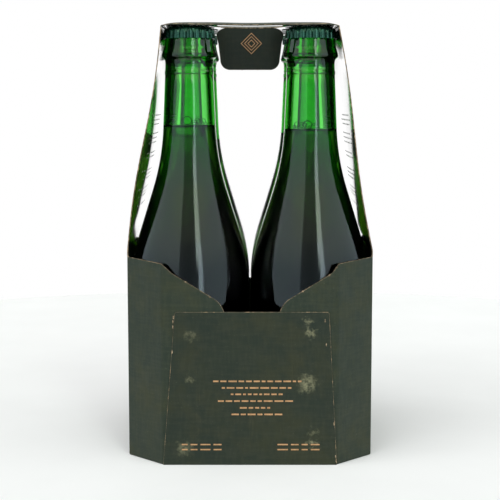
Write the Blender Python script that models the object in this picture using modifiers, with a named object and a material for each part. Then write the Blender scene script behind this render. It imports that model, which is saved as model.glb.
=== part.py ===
"""Four-pack of beer bottles in a paperboard basket carrier.

Four green long-neck bottles stand two by two in an eight-sided basket of folded board.
The basket's long sides run on upward, lean in and meet a roof that lies on the crown caps.
Metres, +Z up. The origin is at the middle of the basket's floor, and the photographed end faces -Y.
"""
import math

import bmesh
import bpy
from mathutils import Matrix

MM = 0.001

# Board and clearances
BOARD = 0.55 * MM
GAP = 0.3 * MM

# Bottle, with heights above its own base
BODY_RADIUS = 32.0 * MM
HEEL_RADIUS = 6.0 * MM
BASE_RING_RADIUS = 24.0 * MM
PUSH_UP = 3.0 * MM
SHOULDER_START = 87.2 * MM
SHOULDER_CURVE = 101.0 * MM
SHOULDER_SLOPE = math.radians(17.2)
NECK_CURVE_START = 142.2 * MM
NECK_CURVE = 130.0 * MM
NECK_TAPER = math.radians(2.4)
NECK_TOP = 206.6 * MM
BEAD_HEIGHT = 212.6 * MM
BEAD_RADIUS = 14.5 * MM
COLLAR_HEIGHT = 221.2 * MM
COLLAR_RADIUS = 12.7 * MM
LIP_HEIGHT = 227.0 * MM
LIP_RADIUS = 10.2 * MM
MOUTH_RADIUS = 8.2 * MM
WALL = 2.7 * MM
NECK_WALL = 3.2 * MM
FLOOR_THICKNESS = 4.0 * MM
TURNED_STEPS = 24

# Beer surface above each bottle's base
FILL_HEIGHTS = {
    "front_left": 175.2 * MM,
    "front_right": 173.2 * MM,
    "back_left": 165.8 * MM,
    "back_right": 169.5 * MM,
}

# Crown cap, with heights above the bottle's base
CAP_FLUTES = 21
CAP_FLUTE_DEPTH = 0.35 * MM
CAP_EDGE_HEIGHT = 221.45 * MM
CAP_EDGE_RADIUS = 13.6 * MM
CAP_SKIRT_HEIGHT = 225.4 * MM
CAP_SKIRT_RADIUS = 12.9 * MM
CAP_SHOULDER_HEIGHT = 226.75 * MM
CAP_SHOULDER_RADIUS = 12.3 * MM
CAP_TOP_HEIGHT = 227.6 * MM
CAP_TOP_RADIUS = 10.6 * MM
CAP_METAL = 0.3 * MM

# Where the bottles stand
AXIS = BODY_RADIUS + GAP
STANDING_HEIGHT = BOARD + GAP
PLACES = {
    "front_left": (-AXIS, -AXIS),
    "front_right": (AXIS, -AXIS),
    "back_left": (-AXIS, AXIS),
    "back_right": (AXIS, AXIS),
}

# Basket: a square with its corners cut at 45 degrees so that each cut lies along a bottle
HALF = AXIS + BODY_RADIUS + GAP + BOARD
CORNER_DISTANCE = AXIS * math.sqrt(2) + BODY_RADIUS + GAP + BOARD
CREASE = CORNER_DISTANCE * math.sqrt(2) - HALF
CORNER_TOP = 107.5 * MM
SIDE_FOLD = 111.0 * MM
END_LEAN = 1.0 * MM

# Top edge of an end wall from its crease to the middle: distance from the middle, height
WING_EDGE = [
    (41.4 * MM, 101.1 * MM),
    (35.2 * MM, 97.4 * MM),
    (17.4 * MM, 86.4 * MM),
    (14.5 * MM, 81.4 * MM),
    (13.2 * MM, 74.0 * MM),
]
WING_CREASE_TOP = 106.2 * MM

# Glued centre flap, hinged on the floor's end edge
FLAP_TOP = 81.0 * MM
FLAP_TOP_HALF_WIDTH = 39.9 * MM
FLAP_BASE_HALF_WIDTH = 45.4 * MM
FLAP_BITE = 0.15 * MM

# Leaning upper side panels: half width at the roof and the bows of each panel
ROOF_HALF_WIDTH = 46.5 * MM
ROOF_EDGE_HEIGHT = 228.7 * MM
PANEL_STEPS = 8
LEFT_BOW = (0.0 * MM, 1.1 * MM)
RIGHT_BOW = (-0.35 * MM, -0.85 * MM)

# Roof, humped over the two rows of caps and sagging between them
ROOF_CREST = 230.6 * MM
ROOF_CREST_X = 24.0 * MM
ROOF_SAG = 1.0 * MM
ROOF_STEPS = 5

# Finger holes in the roof, each with its tab folded down along the inner edge
HINGE_Y = 19.0 * MM
TAB_LENGTH = 22.8 * MM
TAB_HINGE_HALF = 12.4 * MM
TAB_WIDEST_HALF = 18.0 * MM
TAB_SHOULDER = 4.0 * MM
TAB_WAIST_HALF = 17.0 * MM
TAB_WAIST_AT = 8.2 * MM
TAB_LOWER_HALF = 15.9 * MM
TAB_CORNER = 5.0 * MM
CORNER_STEPS = 4
CUT_MARGIN = 3.0 * MM
TAB_TILTS = {"front": 0.0, "back": math.radians(30)}

# Colours of the pieces: red, green, blue, roughness, metallic
BOARD_LOOK = (0.04, 0.055, 0.04, 0.75, 0.0)
GLASS_LOOK = (0.01, 0.18, 0.02, 0.05, 0.0)
BEER_LOOK = (0.25, 0.12, 0.02, 0.1, 0.0)
CAP_LOOK = (0.01, 0.06, 0.04, 0.35, 0.6)


def clear_scene():
    """Remove every object of the scene."""
    for obj in list(bpy.data.objects):
        bpy.data.objects.remove(obj, do_unlink=True)


def new_collection(name):
    """Add a collection to the scene."""
    collection = bpy.data.collections.new(name)
    bpy.context.scene.collection.children.link(collection)
    return collection


def new_material(name, look):
    """Principled material from a colour, a roughness and a metallic value."""
    red, green, blue, roughness, metallic = look
    material = bpy.data.materials.new(name)
    material.use_nodes = True
    shader = material.node_tree.nodes["Principled BSDF"]
    shader.inputs["Base Color"].default_value = (red, green, blue, 1.0)
    shader.inputs["Roughness"].default_value = roughness
    shader.inputs["Metallic"].default_value = metallic
    return material


def add_object(name, mesh, collection, look=None, parent=None):
    """Link a mesh as an object, with its own material and parent."""
    obj = bpy.data.objects.new(name, mesh)
    collection.objects.link(obj)
    if look:
        mesh.materials.append(new_material(name, look))
    obj.parent = parent
    return obj


def smooth(mesh, angle_degrees=40):
    """Shade a mesh smooth, apart from its sharp edges."""
    mesh.shade_smooth()
    mesh.set_sharp_from_angle(angle=math.radians(angle_degrees))


def spread(start, end, count):
    """Evenly spaced numbers from start to end, both included."""
    return [start + (end - start) * step / (count - 1) for step in range(count)]


def shoulder_end():
    """Height and radius where the shoulder's round turns into its straight slope."""
    height = SHOULDER_START + SHOULDER_CURVE * math.sin(SHOULDER_SLOPE)
    radius = BODY_RADIUS - SHOULDER_CURVE * (1 - math.cos(SHOULDER_SLOPE))
    return height, radius


def slope_radius(height):
    """Radius on the shoulder's straight slope."""
    start_height, start_radius = shoulder_end()
    return start_radius - (height - start_height) * math.tan(SHOULDER_SLOPE)


def neck_curve_end():
    """Height where the hollow curve runs out into the tapered neck."""
    return NECK_CURVE_START + NECK_CURVE * (math.sin(SHOULDER_SLOPE) - math.sin(NECK_TAPER))


def neck_curve_radius(height):
    """Radius on the hollow curve between the shoulder's slope and the neck."""
    centre_height = NECK_CURVE_START + NECK_CURVE * math.sin(SHOULDER_SLOPE)
    centre_radius = slope_radius(NECK_CURVE_START) + NECK_CURVE * math.cos(SHOULDER_SLOPE)
    return centre_radius - math.sqrt(NECK_CURVE ** 2 - (centre_height - height) ** 2)


def outer_radius(height):
    """Radius of the bottle's outside between its base and the top of its neck."""
    if height < HEEL_RADIUS:
        drop = HEEL_RADIUS - height
        return BODY_RADIUS - HEEL_RADIUS + math.sqrt(HEEL_RADIUS ** 2 - drop ** 2)
    if height <= SHOULDER_START:
        return BODY_RADIUS
    if height <= shoulder_end()[0]:
        rise = height - SHOULDER_START
        return BODY_RADIUS - SHOULDER_CURVE + math.sqrt(SHOULDER_CURVE ** 2 - rise ** 2)
    if height <= NECK_CURVE_START:
        return slope_radius(height)
    if height <= neck_curve_end():
        return neck_curve_radius(height)
    return neck_curve_radius(neck_curve_end()) - (height - neck_curve_end()) * math.tan(NECK_TAPER)


def wall_thickness(height):
    """Glass thickness, growing from the body to the neck."""
    share = (height - SHOULDER_START) / (NECK_TOP - SHOULDER_START)
    return WALL + (NECK_WALL - WALL) * min(max(share, 0.0), 1.0)


def body_heights(shoulder_count, neck_count):
    """Heights from the heel to the top of the neck at which a profile has its points."""
    heights = [HEEL_RADIUS]
    heights += spread(SHOULDER_START, shoulder_end()[0], shoulder_count)
    heights += spread(NECK_CURVE_START, neck_curve_end(), neck_count)
    heights.append(NECK_TOP)
    return heights


def finish_profile():
    """Lip, collar and bead from the mouth down to the neck: radius, height."""
    return [
        (LIP_RADIUS, LIP_HEIGHT),
        (LIP_RADIUS + 1.2 * MM, LIP_HEIGHT - 0.9 * MM),
        (COLLAR_RADIUS - 0.4 * MM, COLLAR_HEIGHT + 0.6 * MM),
        (COLLAR_RADIUS, COLLAR_HEIGHT),
        (BEAD_RADIUS, BEAD_HEIGHT),
        (BEAD_RADIUS - 0.3 * MM, BEAD_HEIGHT - 1.0 * MM),
        (outer_radius(NECK_TOP) + 0.2 * MM, BEAD_HEIGHT - 2.2 * MM),
    ]


def base_profile():
    """Heel, standing ring and push-up from the body down to the middle: radius, height."""
    heel_angles = spread(math.radians(60), math.radians(20), 3)
    points = []
    for angle in reversed(heel_angles):
        radius = BODY_RADIUS - HEEL_RADIUS * (1 - math.cos(angle))
        points.append((radius, HEEL_RADIUS * (1 - math.sin(angle))))
    points.append((BODY_RADIUS - HEEL_RADIUS, 0.0))
    points.append((BASE_RING_RADIUS, 0.0))
    points.append((0.0, PUSH_UP))
    return points


def inner_profile(clearance):
    """Inside of the glass from the middle of its floor up to the neck: radius, height."""
    floor = FLOOR_THICKNESS + PUSH_UP + clearance
    inner_radius = BODY_RADIUS - WALL - clearance
    points = [(0.0, floor), (inner_radius - HEEL_RADIUS, floor)]
    points.append((inner_radius - 0.3 * HEEL_RADIUS, floor + 0.3 * HEEL_RADIUS))
    points.append((inner_radius, floor + HEEL_RADIUS))
    for height in body_heights(3, 3)[1:]:
        points.append((outer_radius(height) - wall_thickness(height) - clearance, height))
    return points


def turned_object(name, profile, collection, look, parent):
    """Turn a profile round the Z axis with a Screw modifier."""
    bm = bmesh.new()
    verts = [bm.verts.new((radius, 0.0, height)) for radius, height in profile]
    for first, second in zip(verts, verts[1:]):
        bm.edges.new((first, second))
    mesh = bpy.data.meshes.new(name)
    bm.to_mesh(mesh)
    bm.free()
    obj = add_object(name, mesh, collection, look, parent)
    screw = obj.modifiers.new("Turn", "SCREW")
    screw.axis = "Z"
    screw.steps = TURNED_STEPS
    screw.render_steps = TURNED_STEPS
    screw.use_merge_vertices = True
    screw.merge_threshold = 0.00001
    screw.use_smooth_shade = True
    return obj


def add_bottle(place, collection, parent):
    """Glass shell with an open mouth."""
    profile = inner_profile(0.0)
    profile.append((MOUTH_RADIUS, LIP_HEIGHT))
    profile += finish_profile()
    for height in reversed(body_heights(5, 4)):
        profile.append((outer_radius(height), height))
    profile += base_profile()
    turned_object("bottle_" + place, profile, collection, GLASS_LOOK, parent)


def add_beer(place, collection, parent):
    """Beer inside the glass, up to the level that shows."""
    fill = FILL_HEIGHTS[place]
    fill_radius = outer_radius(fill) - wall_thickness(fill) - GAP
    below = [point for point in inner_profile(GAP) if point[1] < fill - GAP]
    profile = [(0.0, fill), (fill_radius, fill)] + list(reversed(below))
    turned_object("beer_" + place, profile, collection, BEER_LOOK, parent)


def fluted_ring(bm, radius, flute_depth, height):
    """Ring of vertices that swings in and out once a flute."""
    count = 2 * CAP_FLUTES
    ring = []
    for step in range(count):
        angle = 2 * math.pi * step / count
        swing = flute_depth if step % 2 == 0 else -flute_depth
        reach = radius + swing
        ring.append(bm.verts.new((reach * math.cos(angle), reach * math.sin(angle), height)))
    return ring


def cap_mesh():
    """Crown cap: a flat top, a rounded shoulder and a fluted skirt, hollow from below."""
    metal = CAP_METAL
    sections = [
        (CAP_TOP_RADIUS, 0.0, CAP_TOP_HEIGHT),
        (CAP_SHOULDER_RADIUS, 0.0, CAP_SHOULDER_HEIGHT),
        (CAP_SKIRT_RADIUS, 0.4 * CAP_FLUTE_DEPTH, CAP_SKIRT_HEIGHT),
        (CAP_EDGE_RADIUS, CAP_FLUTE_DEPTH, CAP_EDGE_HEIGHT),
        (CAP_EDGE_RADIUS - metal, CAP_FLUTE_DEPTH, CAP_EDGE_HEIGHT),
        (CAP_SKIRT_RADIUS - metal, 0.4 * CAP_FLUTE_DEPTH, CAP_SKIRT_HEIGHT - metal / 2),
        (CAP_TOP_RADIUS, 0.0, CAP_TOP_HEIGHT - metal),
    ]
    bm = bmesh.new()
    rings = [fluted_ring(bm, radius, depth, height) for radius, depth, height in sections]
    for upper, lower in zip(rings, rings[1:]):
        for step in range(len(upper)):
            after = (step + 1) % len(upper)
            bm.faces.new((upper[step], lower[step], lower[after], upper[after]))
    bm.faces.new(rings[0])
    bm.faces.new(list(reversed(rings[-1])))
    mesh = bpy.data.meshes.new("crown_cap")
    bm.to_mesh(mesh)
    bm.free()
    smooth(mesh)
    return mesh


def add_bottles(collection):
    """Four bottles, each with its beer and its cap, on empties where they stand."""
    for place, (x, y) in PLACES.items():
        stand = bpy.data.objects.new("place_" + place, None)
        collection.objects.link(stand)
        stand.location = (x, y, STANDING_HEIGHT)
        add_bottle(place, collection, stand)
        add_beer(place, collection, stand)
        add_object("cap_" + place, cap_mesh(), collection, CAP_LOOK, stand)


def roof_height(x):
    """Height of the roof's upper face at a distance x from the middle."""
    reach = abs(x)
    if reach < ROOF_CREST_X:
        return ROOF_CREST - ROOF_SAG * (1 + math.cos(math.pi * reach / ROOF_CREST_X)) / 2
    share = (reach - ROOF_CREST_X) / (ROOF_HALF_WIDTH - ROOF_CREST_X)
    return ROOF_CREST - (ROOF_CREST - ROOF_EDGE_HEIGHT) * share ** 2


def panel_points(side, bow):
    """Side panel from the fold above the basket up to the roof: x, z."""
    single, double = bow
    points = []
    for step in range(PANEL_STEPS):
        share = step / PANEL_STEPS
        reach = HALF + (ROOF_HALF_WIDTH - HALF) * share
        reach += single * math.sin(math.pi * share) + double * math.sin(2 * math.pi * share)
        points.append((side * reach, SIDE_FOLD + (ROOF_EDGE_HEIGHT - SIDE_FOLD) * share))
    return points


def roof_points():
    """Roof from its left edge to its right edge: x, z."""
    outer = spread(-ROOF_HALF_WIDTH, -ROOF_CREST_X, ROOF_STEPS)
    inner = spread(-ROOF_CREST_X, 0.0, ROOF_STEPS)[1:]
    left = outer + inner
    right = [-x for x in reversed(left[:-1])]
    return [(x, roof_height(x)) for x in left + right]


def sleeve_points():
    """Sides and roof of the carrier as one line from floor to floor: x, z."""
    left = [(-HALF, 0.0), (-HALF, CORNER_TOP)] + panel_points(-1, LEFT_BOW)
    right = [(HALF, 0.0), (HALF, CORNER_TOP)] + panel_points(1, RIGHT_BOW)
    return left + roof_points() + list(reversed(right))


def end_wall_points(end):
    """Outline of an end wall, from its left base corner over the dipping top edge: x, z."""
    left = [(-CREASE, 0.0), (-CREASE, WING_CREASE_TOP)]
    left += [(END_LEAN * -end - reach, height) for reach, height in WING_EDGE]
    right = [(CREASE, 0.0), (CREASE, WING_CREASE_TOP)]
    right += [(END_LEAN * -end + reach, height) for reach, height in WING_EDGE]
    return left + list(reversed(right))


def add_face(bm, points):
    """Flat face through points; the later weld joins it to its neighbours."""
    bm.faces.new([bm.verts.new(point) for point in points])


def folded_board_mesh():
    """Outer face of the board: floor, basket walls, leaning sides and roof."""
    bm = bmesh.new()
    line = sleeve_points()
    for (x0, z0), (x1, z1) in zip(line, line[1:]):
        add_face(bm, [(x0, -CREASE, z0), (x1, -CREASE, z1), (x1, CREASE, z1), (x0, CREASE, z0)])
    for end in (-1, 1):
        add_face(bm, [(x, end * HALF, z) for x, z in end_wall_points(end)])
        for side in (-1, 1):
            add_face(bm, [
                (side * HALF, end * CREASE, 0.0),
                (side * HALF, end * CREASE, CORNER_TOP),
                (side * CREASE, end * HALF, WING_CREASE_TOP),
                (side * CREASE, end * HALF, 0.0),
            ])
    add_face(bm, [
        (-HALF, -CREASE, 0.0), (-CREASE, -HALF, 0.0), (CREASE, -HALF, 0.0), (HALF, -CREASE, 0.0),
        (HALF, CREASE, 0.0), (CREASE, HALF, 0.0), (-CREASE, HALF, 0.0), (-HALF, CREASE, 0.0),
    ])
    bmesh.ops.remove_doubles(bm, verts=bm.verts, dist=0.000001)
    bmesh.ops.recalc_face_normals(bm, faces=bm.faces)
    mesh = bpy.data.meshes.new("carrier")
    bm.to_mesh(mesh)
    bm.free()
    return mesh


def prism_mesh(name, outline, along_y=True, start=0.0, end=0.0):
    """Flat outline of (x, other) pairs run from start to end along Y, or else along Z."""
    bm = bmesh.new()
    if along_y:
        verts = [bm.verts.new((x, start, z)) for x, z in outline]
        shift = (0.0, end - start, 0.0)
    else:
        verts = [bm.verts.new((x, y, start)) for x, y in outline]
        shift = (0.0, 0.0, end - start)
    face = bm.faces.new(verts)
    grown = bmesh.ops.extrude_face_region(bm, geom=[face])
    moved = [item for item in grown["geom"] if isinstance(item, bmesh.types.BMVert)]
    bmesh.ops.translate(bm, verts=moved, vec=shift)
    bmesh.ops.recalc_face_normals(bm, faces=bm.faces)
    mesh = bpy.data.meshes.new(name)
    bm.to_mesh(mesh)
    bm.free()
    return mesh


def tab_side_points():
    """Right edge of a tab, from its hinge to its far end: x, distance from the hinge."""
    points = []
    for angle in spread(math.radians(90), 0.0, CORNER_STEPS):
        x = TAB_HINGE_HALF + (TAB_WIDEST_HALF - TAB_HINGE_HALF) * math.cos(angle)
        points.append((x, TAB_SHOULDER * (1 - math.sin(angle))))
    points.append((TAB_WAIST_HALF, TAB_WAIST_AT))
    centre = (TAB_LOWER_HALF - TAB_CORNER, TAB_LENGTH - TAB_CORNER)
    for step in range(CORNER_STEPS + 1):
        angle = math.radians(90) * step / CORNER_STEPS
        x = centre[0] + TAB_CORNER * math.cos(angle)
        points.append((x, centre[1] + TAB_CORNER * math.sin(angle)))
    return points


def hole_outline(end):
    """Finger hole seen from above, from the hinge toward the end of the roof: x, y."""
    right = [(x, end * (HINGE_Y + reach)) for x, reach in tab_side_points()]
    left = [(-x, y) for x, y in reversed(right)]
    return right + left


def tab_outline():
    """Hanging tab seen from the end, its top edge within the roof's board: x, z."""
    hinge_height = roof_height(TAB_HINGE_HALF) - BOARD
    right = [(x, hinge_height - reach) for x, reach in tab_side_points()[1:]]
    left = [(-x, z) for x, z in reversed(right)]
    top = [(x, roof_height(x) - BOARD / 2) for x in spread(-TAB_HINGE_HALF, TAB_HINGE_HALF, 9)]
    return right + left + top


def flap_outline(end):
    """Centre flap glued over the end wall: x, z."""
    lean = END_LEAN * -end
    return [
        (-FLAP_BASE_HALF_WIDTH, 0.0), (FLAP_BASE_HALF_WIDTH, 0.0),
        (lean + FLAP_TOP_HALF_WIDTH, FLAP_TOP), (lean - FLAP_TOP_HALF_WIDTH, FLAP_TOP),
    ]


def add_cutter(carrier, mesh, operation, collection):
    """Use a mesh on the carrier as an exact Boolean, kept out of the render."""
    cutter = add_object(mesh.name, mesh, collection)
    cutter.hide_render = True
    cutter.display_type = "WIRE"
    boolean = carrier.modifiers.new(mesh.name, "BOOLEAN")
    boolean.operation = operation
    boolean.solver = "EXACT"
    boolean.object = cutter


def hanging_tab_mesh(end, place):
    """Tab below the inner edge of its hole, swung toward the middle by its tilt."""
    hinge = (0.0, end * HINGE_Y, roof_height(TAB_HINGE_HALF) - BOARD)
    mesh = prism_mesh("tab_" + place, tab_outline(), True, end * (HINGE_Y - BOARD), end * HINGE_Y)
    swing = Matrix.Rotation(-end * TAB_TILTS[place], 4, "X")
    mesh.transform(Matrix.Translation(hinge) @ swing @ Matrix.Translation(hinge).inverted())
    return mesh


def add_carrier(collection, cutters):
    """Folded board with its finger holes, hanging tabs and glued flaps."""
    carrier = add_object("carrier", folded_board_mesh(), collection, BOARD_LOOK)
    solidify = carrier.modifiers.new("Board", "SOLIDIFY")
    solidify.thickness = BOARD
    solidify.offset = -1.0
    solidify.use_even_offset = True
    for end, place in ((-1, "front"), (1, "back")):
        low = ROOF_CREST - ROOF_SAG - BOARD - CUT_MARGIN
        high = ROOF_CREST + CUT_MARGIN
        hole = prism_mesh("hole_" + place, hole_outline(end), False, low, high)
        add_cutter(carrier, hole, "DIFFERENCE", cutters)
        add_cutter(carrier, hanging_tab_mesh(end, place), "UNION", cutters)
        inner = end * (HALF - FLAP_BITE)
        outer = end * (HALF + BOARD)
        flap = prism_mesh("flap_" + place, flap_outline(end), True, inner, outer)
        add_cutter(carrier, flap, "UNION", cutters)


def main():
    clear_scene()
    pack = new_collection("bottle_four_pack")
    cutters = new_collection("cutters")
    add_carrier(pack, cutters)
    add_bottles(pack)


main()
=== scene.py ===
"""Looks of the four-pack: board carrier, green glass, beer, crown caps, and a pale studio."""
import math
import random

import bmesh
import bpy
from mathutils import Matrix, Vector


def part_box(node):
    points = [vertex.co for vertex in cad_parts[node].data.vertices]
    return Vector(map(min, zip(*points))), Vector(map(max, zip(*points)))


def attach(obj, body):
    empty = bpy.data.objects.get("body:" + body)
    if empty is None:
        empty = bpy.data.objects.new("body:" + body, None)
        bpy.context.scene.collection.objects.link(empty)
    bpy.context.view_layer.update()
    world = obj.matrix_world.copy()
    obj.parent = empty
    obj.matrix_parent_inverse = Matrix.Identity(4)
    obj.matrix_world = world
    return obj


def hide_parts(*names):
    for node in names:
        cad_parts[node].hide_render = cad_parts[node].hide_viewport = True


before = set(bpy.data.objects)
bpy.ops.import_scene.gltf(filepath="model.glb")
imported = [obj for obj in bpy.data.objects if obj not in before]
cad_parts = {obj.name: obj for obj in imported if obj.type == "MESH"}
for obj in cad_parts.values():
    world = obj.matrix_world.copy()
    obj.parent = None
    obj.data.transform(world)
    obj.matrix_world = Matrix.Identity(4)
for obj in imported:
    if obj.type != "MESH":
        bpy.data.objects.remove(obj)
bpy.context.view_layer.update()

MM = 0.001
PLACES = ("front_left", "front_right", "back_left", "back_right")

# How far each bottle and cap is turned from the one before
BOTTLE_TURN = math.radians(77)
CAP_TURN = math.radians(5)

# Camera of the photograph, read from the pack's own sizes
CAMERA_DISTANCE = 710.2 * MM
CAMERA_HEIGHT = 188.6 * MM
CAMERA_PITCH = math.radians(6.645)
CAMERA_LENS_MM = 90.85
SENSOR_MM = 36.0

# Studio as the glass mirrors it: degrees round from the camera, then the light at each rise
STUDIO_SCALE = 6.0
STUDIO_TINTS = [(1.0, 1.24, 1.40), (1.06, 1.25, 1.24), (1.12, 1.32, 1.08)]
BACKDROP_FROM = 146
STUDIO_WALLS = [
    (-180, 1.5, 1.5, 1.5), (-165, 1.5, 1.5, 1.5), (-154, 0.3, 0.3, 0.3), (-146, 0.03, 0.03, 0.03),
    (-117, 0.03, 0.03, 0.03), (-112, 0.85, 1.15, 1.25), (-21, 0.85, 1.15, 1.25), (-19.5, 0.34, 0.42, 0.45),
    (-8, 0.26, 0.30, 0.45), (3, 0.24, 0.28, 0.42), (14, 0.32, 0.42, 0.45), (15.5, 0.34, 4.4, 4.2),
    (18, 0.4, 4.4, 4.2), (19.5, 3.4, 4.4, 4.2), (25, 3.4, 4.4, 4.2), (27, 2.6, 2.0, 2.0),
    (29, 0.85, 1.15, 1.25), (117, 0.85, 1.15, 1.25), (122, 0.03, 0.03, 0.03), (146, 0.03, 0.03, 0.03),
    (154, 0.3, 0.3, 0.3), (165, 1.5, 1.5, 1.5), (180, 1.5, 1.5, 1.5),
]
STUDIO_RISES = [(0.12, 0.36), (0.42, 0.48)]

# Light on matte surfaces from all round, as a share that is taken away
DIFFUSE_CUT = 0.58

# Soft lights: name, energy, then the way that the light goes
SOFT_LIGHTS = [
    ("soft_sky", 1.5, (0.15, 0.5, -1.0)),
    ("soft_left", 0.5, (1.0, 0.45, -0.5)),
    ("soft_right", 0.5, (-1.0, 0.45, -0.5)),
]
SOFT_ANGLE = math.radians(60)

FLOOR_RADIUS = 0.55
FLOOR_DROP = 0.02 * MM

# Board
BOARD = 0.55 * MM
LEANING_BOARD = 1.03 * BOARD
GAP = 0.3 * MM
GLUE_BITE = 0.1 * MM
BODY_RADIUS = 32.0 * MM
AXIS = BODY_RADIUS + GAP
HALF = AXIS + BODY_RADIUS + GAP + BOARD
CREASE = (AXIS * math.sqrt(2) + BODY_RADIUS + GAP + BOARD) * math.sqrt(2) - HALF
CORNER_TOP = 107.5 * MM
WING_CREASE_TOP = 106.2 * MM
SIDE_FOLD = 111.0 * MM
END_LEAN = 1.0 * MM
WING_EDGE = [(41.4, 101.1), (35.2, 97.4), (17.4, 86.4), (14.5, 81.4), (13.2, 74.0)]
WALL_CORNER = 2.2 * MM
FLAP_CORNER = 1.2 * MM
FLAP_TOP = 81.0 * MM
FLAP_TOP_HALF_WIDTH = 39.9 * MM
FLAP_BASE_HALF_WIDTH = 45.4 * MM
ROOF_HALF_WIDTH = 46.5 * MM
ROOF_EDGE_HEIGHT = 228.7 * MM
PANEL_STEPS = 40
LEFT_BOW = (0.0 * MM, 1.1 * MM)
RIGHT_BOW = (-0.35 * MM, -0.85 * MM)
ROOF_CREST = 230.6 * MM
ROOF_CREST_X = 24.0 * MM
ROOF_SAG = 0.35 * MM
ROOF_STEPS = 19
LEFT_PINCH = [
    (110, 0.0), (118, 0.0), (122, 0.15), (129, 1.15), (137, 1.8), (145, 2.4), (154, 2.8), (162, 2.6), (171, 2.1),
    (179, 1.4), (188, 0.7), (196, 0.1), (203, -0.3), (208, -0.9), (213, -1.3), (218, -1.1), (221, -0.4), (223, 0.2),
    (226, 0.3), (229, 0.0),
]
RIGHT_PINCH = [
    (110, 0.0), (114, 0.7), (120, 1.35), (129, 1.05), (138, 1.0), (147, 1.0), (155, 0.9), (163, 0.92), (171, 0.78),
    (180, 0.58), (198, 0.05), (204, -0.2), (212, -0.8), (218, -0.6), (221, -0.1), (223, 0.2), (226, 0.3), (229, 0.0),
]
ROOF_DROOP = 1.15 * MM
DROOP_REACH = 4.5 * MM
HINGE_Y = 19.0 * MM
HINGE_DIP = 1.25 * MM
HINGE_DIP_REACH = 5.0 * MM
HINGE_DIP_HALF = 22 * MM
HOLE_CUT_LOW = ROOF_CREST - 4 * MM
HOLE_CUT = 7 * MM
TAB_LENGTH = 22.2 * MM
TAB_HINGE_HALF = 12.4 * MM
TAB_WIDEST_HALF = 18.0 * MM
TAB_SHOULDER = 4.0 * MM
TAB_WAIST_HALF = 17.0 * MM
TAB_WAIST_AT = 8.2 * MM
TAB_LOWER_HALF = 15.9 * MM
TAB_CORNER = 5.0 * MM
TAB_TOP_POINTS = 9
TAB_TILTS = {-1: 0.0, 1: math.radians(30)}
FOLD_ROUND = 0.7 * MM
FOLD_ANGLE = math.radians(35)
BOARD_SHARP_ANGLE = math.radians(5)
EDGE_ROUND = 0.16 * MM
# Dark strip under the roof's cut edges in the inside's ink colour: partly that ink, partly painted shade for the
# edge's shadowed lower half
UNDER_EDGE_DROP = 0.8 * BOARD
UNDER_EDGE_ROUND = 1.4 * EDGE_ROUND

# Material slots of the board after its printed outside; the tabs' ink is darkened as painted shade for the shadow
# under the roof's front strip
VARNISHED, RAW, TAB_INK_PAINTED_SHADE, FLAP_INK = 1, 2, 3, 4

# Nicks in the cut edges, and bare flecks on the front flap's edges, in millimetres
WALL_NICKS = (-33.3, -20.5, 27.3, 41.0, 44.6)
STRIP_NICKS = (-4.2, 4.1)
FLAP_FLECKS = [
    (-39.7, 78.4), (-39.9, 76.2), (-40.0, 73.4), (-40.4, 60.2), (38.9, 76.6), (39.6, 64.0), (43.9, 22.0),
    (45.2, 2.2), (44.9, 4.3),
]
NICK_DEPTH = 0.10
# Tint of the printed ink by part: the tab's dark tint is painted shade for the shadow under the roof's front strip,
# and the flap's is a darker ink
BOARD_SHADES = [("board", (0.91, 0.90, 0.88)), ("tab", (0.36, 0.33, 0.27)), ("flap", (0.71, 0.70, 0.67))]

# Pale scuffs on the front flap, each a point, its reach and its strength
SCUFFS = [
    ((x * MM, -HALF - BOARD, z * MM), reach * MM, strength)
    for x, z, reach, strength in (
        (30.2, 76.0, 3.0, 1.0), (31.8, 70.2, 3.0, 0.9), (-30.9, 68.6, 4.2, 0.45), (-30.5, 45.4, 2.4, 0.5),
        (29.9, 43.2, 6.4, 1.0), (33.1, 17.7, 2.8, 0.45), (32.1, 11.8, 3.6, 0.9), (-34.4, 9.1, 5.2, 0.55),
    )
]

# Copper print: lines of bars as middle, width, height, and bars as shortest, longest, gap, in millimetres
PRINT_LINES = [
    (3.8, 46.0, 44.7), (3.8, 37.0, 41.2), (3.5, 27.0, 37.8), (3.8, 41.0, 34.2), (3.7, 18.0, 30.6), (3.6, 26.5, 27.1),
]
PRINT_BARS = (1.3, 4.6, 1.0)
PRINT_BAR = 0.85 * MM
PRINT_RISE = 0.015 * MM
FOOT_MARKS = [(-24.2, 23.0), (26.4, 24.0)]
FOOT_BARS = (3.0, 5.5, 1.6)
FOOT_BAR = 0.7 * MM
FOOT_ROWS = (7.9 * MM, 10.6 * MM)
MOTIF_MIDDLE = (0.75 * MM, 220.6 * MM)
MOTIF_REACHES = (5.7 * MM, 3.9 * MM, 2.1 * MM)
MOTIF_LINE = 0.42 * MM
SMALL_PRINT_HEIGHTS = (
    132.6, 137.4, 139.3, 141.5, 147.0, 149.3, 151.6, 158.7, 161.0, 166.5, 169.0, 171.5, 176.6, 179.0, 181.6,
)
SMALL_PRINT_MIDDLES = (-4.0, 4.0)
SMALL_PRINT_WIDTHS = (44.0, 62.0)
SMALL_PRINT_BARS = (2.6, 5.2, 4.0)
SMALL_PRINT_BAR = 0.75 * MM

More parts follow.
